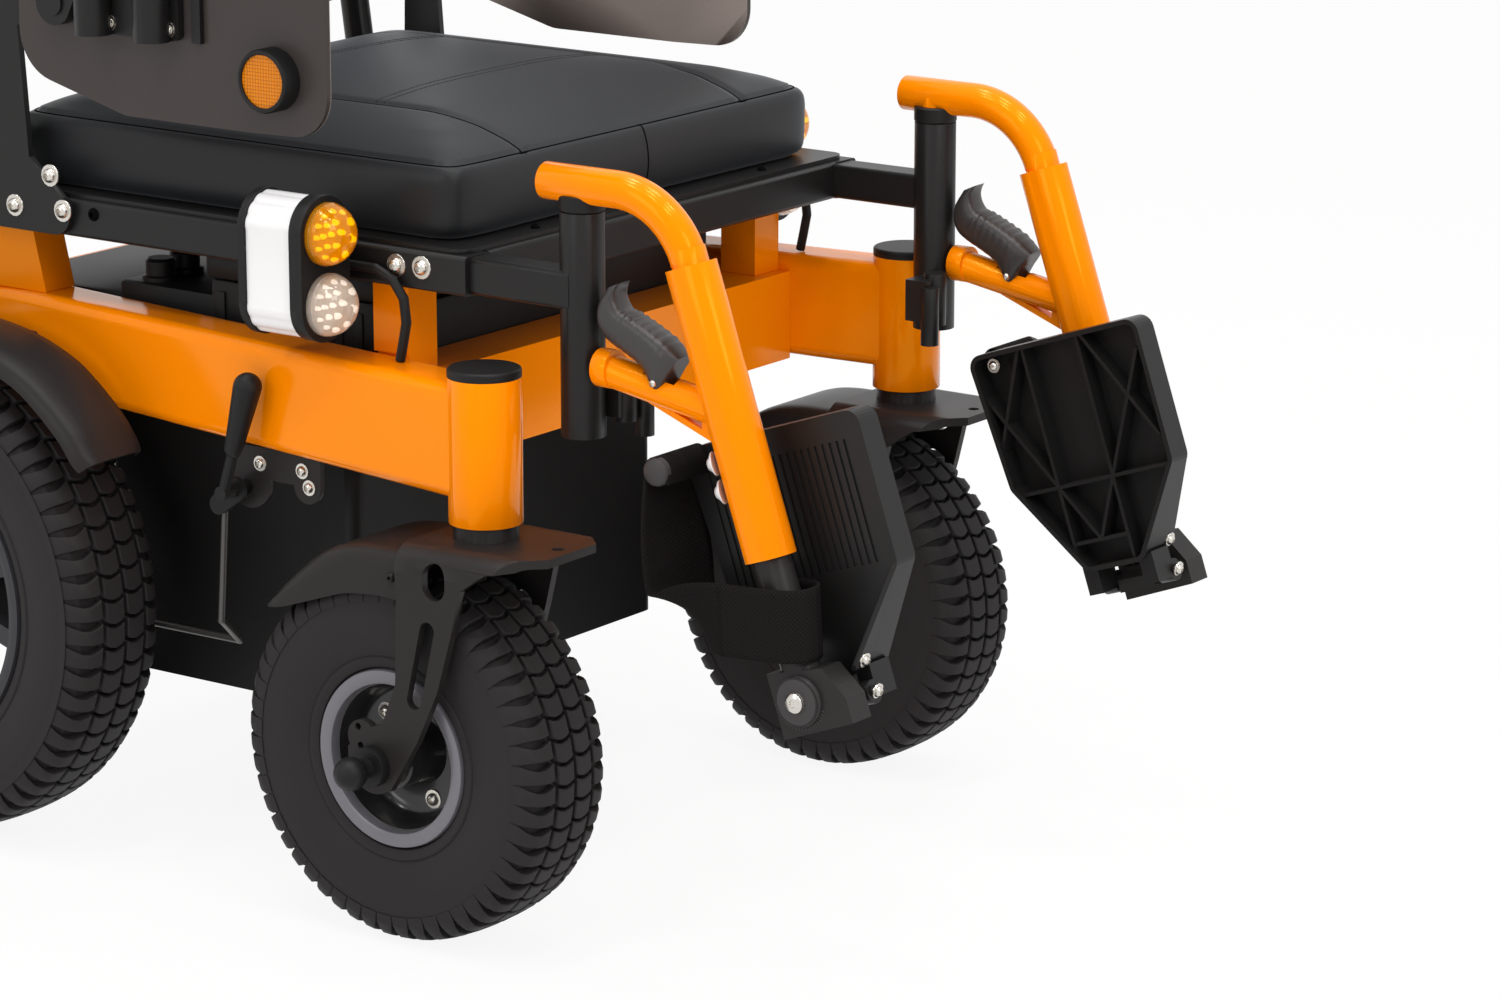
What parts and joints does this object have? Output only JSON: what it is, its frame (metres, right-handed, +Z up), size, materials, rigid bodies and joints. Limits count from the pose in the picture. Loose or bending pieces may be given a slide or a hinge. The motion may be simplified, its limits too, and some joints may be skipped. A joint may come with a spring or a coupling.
{
  "type": "all terrain wheelchair",
  "caption": "Powered all terrain wheelchair: splayed box frame on block-tread wheels and swivelling casters, padded seat, flip-up arms, swing-away legrests and joystick.",
  "frame": {"origin": "on the floor, under the middle of the chair's length and width", "axes": "+Z up, -Y the way the chair faces, +X to the sitting person's left"},
  "size_m": [0.677, 0.9594, 1.0445],
  "materials": {
    "orange_paint": "gloss orange powder coat",
    "black_coat": "satin black powder coat",
    "grey_coat": "satin warm dark grey powder coat",
    "grey_shell": "satin dark grey moulded shell",
    "black_plastic": "satin black moulding",
    "leatherette": "black leatherette with a soft sheen",
    "battery_case": "matt grey battery case",
    "motor_case": "dark cast alloy",
    "lamp_white": "white gloss moulding",
    "amber_lens": "amber clear lens",
    "clear_lens": "clear lens",
    "tyre": "dark grey rubber",
    "dark_alloy": "dark grey cast alloy",
    "pale_alloy": "light grey painted alloy",
    "steel": "zinc plated steel",
    "lever_rubber": "blue grey moulded rubber",
    "band_mesh": "black mesh webbing",
    "taupe_panel": "satin taupe sheet",
    "reflector_amber": "amber prism reflector in a black ring",
    "button_green": "green button",
    "button_grey": "grey button"
  },
  "bodies": {
    "chassis": {"rail_right": "orange_paint", "rail_left": "orange_paint", "cross_frame": "orange_paint", "seat_frame": "black_coat", "seat_cushion": "leatherette", "hinge_plates": "black_coat", "legrest_mounts": "black_coat", "head_caps": "black_plastic", "battery_box": "black_plastic", "batteries": "battery_case", "drive_motors": "motor_case", "rear_fenders": "grey_shell", "lamp_housings": "lamp_white", "lamp_lenses_amber": "amber_lens", "lamp_lenses_clear": "clear_lens", "lamp_mounts": "black_plastic", "freewheel_brackets": "grey_coat"},
    "backrest": {"back_frame": "black_coat", "back_cushion": "leatherette"},
    "arm_right": {"arm_frame_right": "black_coat", "arm_panel_right": "taupe_panel", "arm_pad_right": "leatherette", "reflector_right": "reflector_amber", "joystick_pod": "black_plastic"},
    "arm_left": {"arm_frame_left": "black_coat", "arm_panel_left": "taupe_panel", "arm_pad_left": "leatherette", "reflector_left": "reflector_amber"},
    "joystick_ring": {"joystick_gimbal": "steel"},
    "joystick": {"joystick_stick": "lever_rubber"},
    "power_push": {"power_button": "button_green"},
    "speed_push": {"speed_button": "button_grey"},
    "rear_wheel_right": {"rear_tyre_right": "tyre", "rear_rim_right": "dark_alloy"},
    "caster_fork_right": {"fork_right": "grey_coat", "caster_fender_right": "grey_shell", "caster_axle_right": "steel"},
    "caster_wheel_right": {"caster_tyre_right": "tyre", "caster_rim_right": "pale_alloy"},
    "legrest_right": {"hanger_right": "orange_paint"},
    "release_right": {"release_lever_right": "lever_rubber"},
    "leg_right": {"leg_tube_right": "black_coat", "heel_strap_right": "band_mesh"},
    "foot_right": {"footplate_right": "black_plastic"},
    "freewheel_right": {"freewheel_lever_right": "black_coat"},
    "freewheel_wire_right": {"freewheel_rod_right": "steel"},
    "rear_wheel_left": {"rear_tyre_left": "tyre", "rear_rim_left": "dark_alloy"},
    "caster_fork_left": {"fork_left": "grey_coat", "caster_fender_left": "grey_shell", "caster_axle_left": "steel"},
    "caster_wheel_left": {"caster_tyre_left": "tyre", "caster_rim_left": "pale_alloy"},
    "legrest_left": {"hanger_left": "orange_paint"},
    "release_left": {"release_lever_left": "lever_rubber"},
    "leg_left": {"leg_tube_left": "black_coat", "heel_strap_left": "band_mesh"},
    "foot_left": {"footplate_left": "black_plastic"},
    "freewheel_left": {"freewheel_lever_left": "black_coat"},
    "freewheel_wire_left": {"freewheel_rod_left": "steel"}
  },
  "joints": [
    {"name": "back_recline", "type": "hinge", "parent": "chassis", "child": "backrest", "pos_m": [0, 0.2827, 0.5], "axis": [-1, 0, 0], "range_deg": [0, 30]},
    {"name": "joystick_pitch", "type": "hinge", "parent": "arm_right", "child": "joystick_ring", "pos_m": [-0.258, -0.1273, 0.724], "axis": [1, 0, 0], "range_deg": [-15, 15], "stiffness_Nm_per_rad": 0.4},
    {"name": "joystick_roll", "type": "hinge", "parent": "joystick_ring", "child": "joystick", "pos_m": [-0.258, -0.1273, 0.724], "axis": [0, 1, 0], "range_deg": [-15, 15], "stiffness_Nm_per_rad": 0.4},
    {"name": "power_press", "type": "slide", "parent": "arm_right", "child": "power_push", "axis": [0, 0, -1], "range_m": [0, 0.0015], "stiffness_N_per_m": 1200, "springref_m": -0.001},
    {"name": "speed_press", "type": "slide", "parent": "arm_right", "child": "speed_push", "axis": [0, 0, -1], "range_m": [0, 0.0015], "stiffness_N_per_m": 1200, "springref_m": -0.001},
    {"name": "rear_wheel_spin_right", "type": "hinge", "parent": "chassis", "child": "rear_wheel_right", "pos_m": [-0.26, 0.3017, 0.18], "axis": [1, 0, 0], "continuous": true},
    {"name": "caster_swivel_right", "type": "hinge", "parent": "chassis", "child": "caster_fork_right", "pos_m": [-0.249, -0.1943, 0.3], "axis": [0, 0, 1], "continuous": true},
    {"name": "caster_spin_right", "type": "hinge", "parent": "caster_fork_right", "child": "caster_wheel_right", "pos_m": [-0.249, -0.1383, 0.13], "axis": [1, 0, 0], "continuous": true},
    {"name": "legrest_swing_right", "type": "hinge", "parent": "chassis", "child": "legrest_right", "pos_m": [-0.2083, -0.2453, 0.45], "axis": [0, 0, -1], "range_deg": [0, 90]},
    {"name": "legrest_release_right", "type": "hinge", "parent": "legrest_right", "child": "release_right", "pos_m": [-0.211, -0.3143, 0.401], "axis": [1, 0, 0], "range_deg": [0, 18], "stiffness_Nm_per_rad": 2, "springref_deg": -8.59},
    {"name": "leg_length_right", "type": "slide", "parent": "legrest_right", "child": "leg_right", "axis": [0, -0.3256, -0.9455], "range_m": [0, 0.06]},
    {"name": "footplate_flip_right", "type": "hinge", "parent": "leg_right", "child": "foot_right", "pos_m": [-0.188, -0.42393, 0.19627], "axis": [0, 0.9455, -0.3256], "range_deg": [0, 90], "deforming": ["heel_strap_right"]},
    {"name": "arm_flip_right", "type": "hinge", "parent": "chassis", "child": "arm_right", "pos_m": [-0.24, 0.1807, 0.61], "axis": [-1, 0, 0], "range_deg": [0, 95]},
    {"name": "freewheel_turn_right", "type": "hinge", "parent": "chassis", "child": "freewheel_right", "pos_m": [-0.242, 0.0277, 0.285], "axis": [-1, 0, 0], "range_deg": [0, 35]},
    {"name": "freewheel_wire_turn_right", "type": "hinge", "parent": "freewheel_right", "child": "freewheel_wire_right", "pos_m": [-0.242, 0.04302, 0.27214], "axis": [-1, 0, 0], "range_deg": [-36, 1]},
    {"name": "rear_wheel_spin_left", "type": "hinge", "parent": "chassis", "child": "rear_wheel_left", "pos_m": [0.26, 0.3017, 0.18], "axis": [1, 0, 0], "continuous": true},
    {"name": "caster_swivel_left", "type": "hinge", "parent": "chassis", "child": "caster_fork_left", "pos_m": [0.249, -0.1943, 0.3], "axis": [0, 0, 1], "continuous": true},
    {"name": "caster_spin_left", "type": "hinge", "parent": "caster_fork_left", "child": "caster_wheel_left", "pos_m": [0.249, -0.1383, 0.13], "axis": [1, 0, 0], "continuous": true},
    {"name": "legrest_swing_left", "type": "hinge", "parent": "chassis", "child": "legrest_left", "pos_m": [0.2083, -0.2453, 0.45], "axis": [0, 0, 1], "range_deg": [0, 90]},
    {"name": "legrest_release_left", "type": "hinge", "parent": "legrest_left", "child": "release_left", "pos_m": [0.211, -0.3143, 0.401], "axis": [1, 0, 0], "range_deg": [0, 18], "stiffness_Nm_per_rad": 2, "springref_deg": -8.59},
    {"name": "leg_length_left", "type": "slide", "parent": "legrest_left", "child": "leg_left", "axis": [0, -0.3256, -0.9455], "range_m": [0, 0.06]},
    {"name": "footplate_flip_left", "type": "hinge", "parent": "leg_left", "child": "foot_left", "pos_m": [0.188, -0.42393, 0.19627], "axis": [0, -0.9455, 0.3256], "range_deg": [0, 90], "deforming": ["heel_strap_left"]},
    {"name": "arm_flip_left", "type": "hinge", "parent": "chassis", "child": "arm_left", "pos_m": [0.24, 0.1807, 0.61], "axis": [-1, 0, 0], "range_deg": [0, 95]},
    {"name": "freewheel_turn_left", "type": "hinge", "parent": "chassis", "child": "freewheel_left", "pos_m": [0.242, 0.0277, 0.285], "axis": [-1, 0, 0], "range_deg": [0, 35]},
    {"name": "freewheel_wire_turn_left", "type": "hinge", "parent": "freewheel_left", "child": "freewheel_wire_left", "pos_m": [0.242, 0.04302, 0.27214], "axis": [-1, 0, 0], "range_deg": [-36, 1]}
  ],
  "couplings": [
    {"joint": "freewheel_wire_turn_right", "follows": "freewheel_turn_right", "ratio": -1},
    {"joint": "freewheel_wire_turn_left", "follows": "freewheel_turn_left", "ratio": -1}
  ]
}
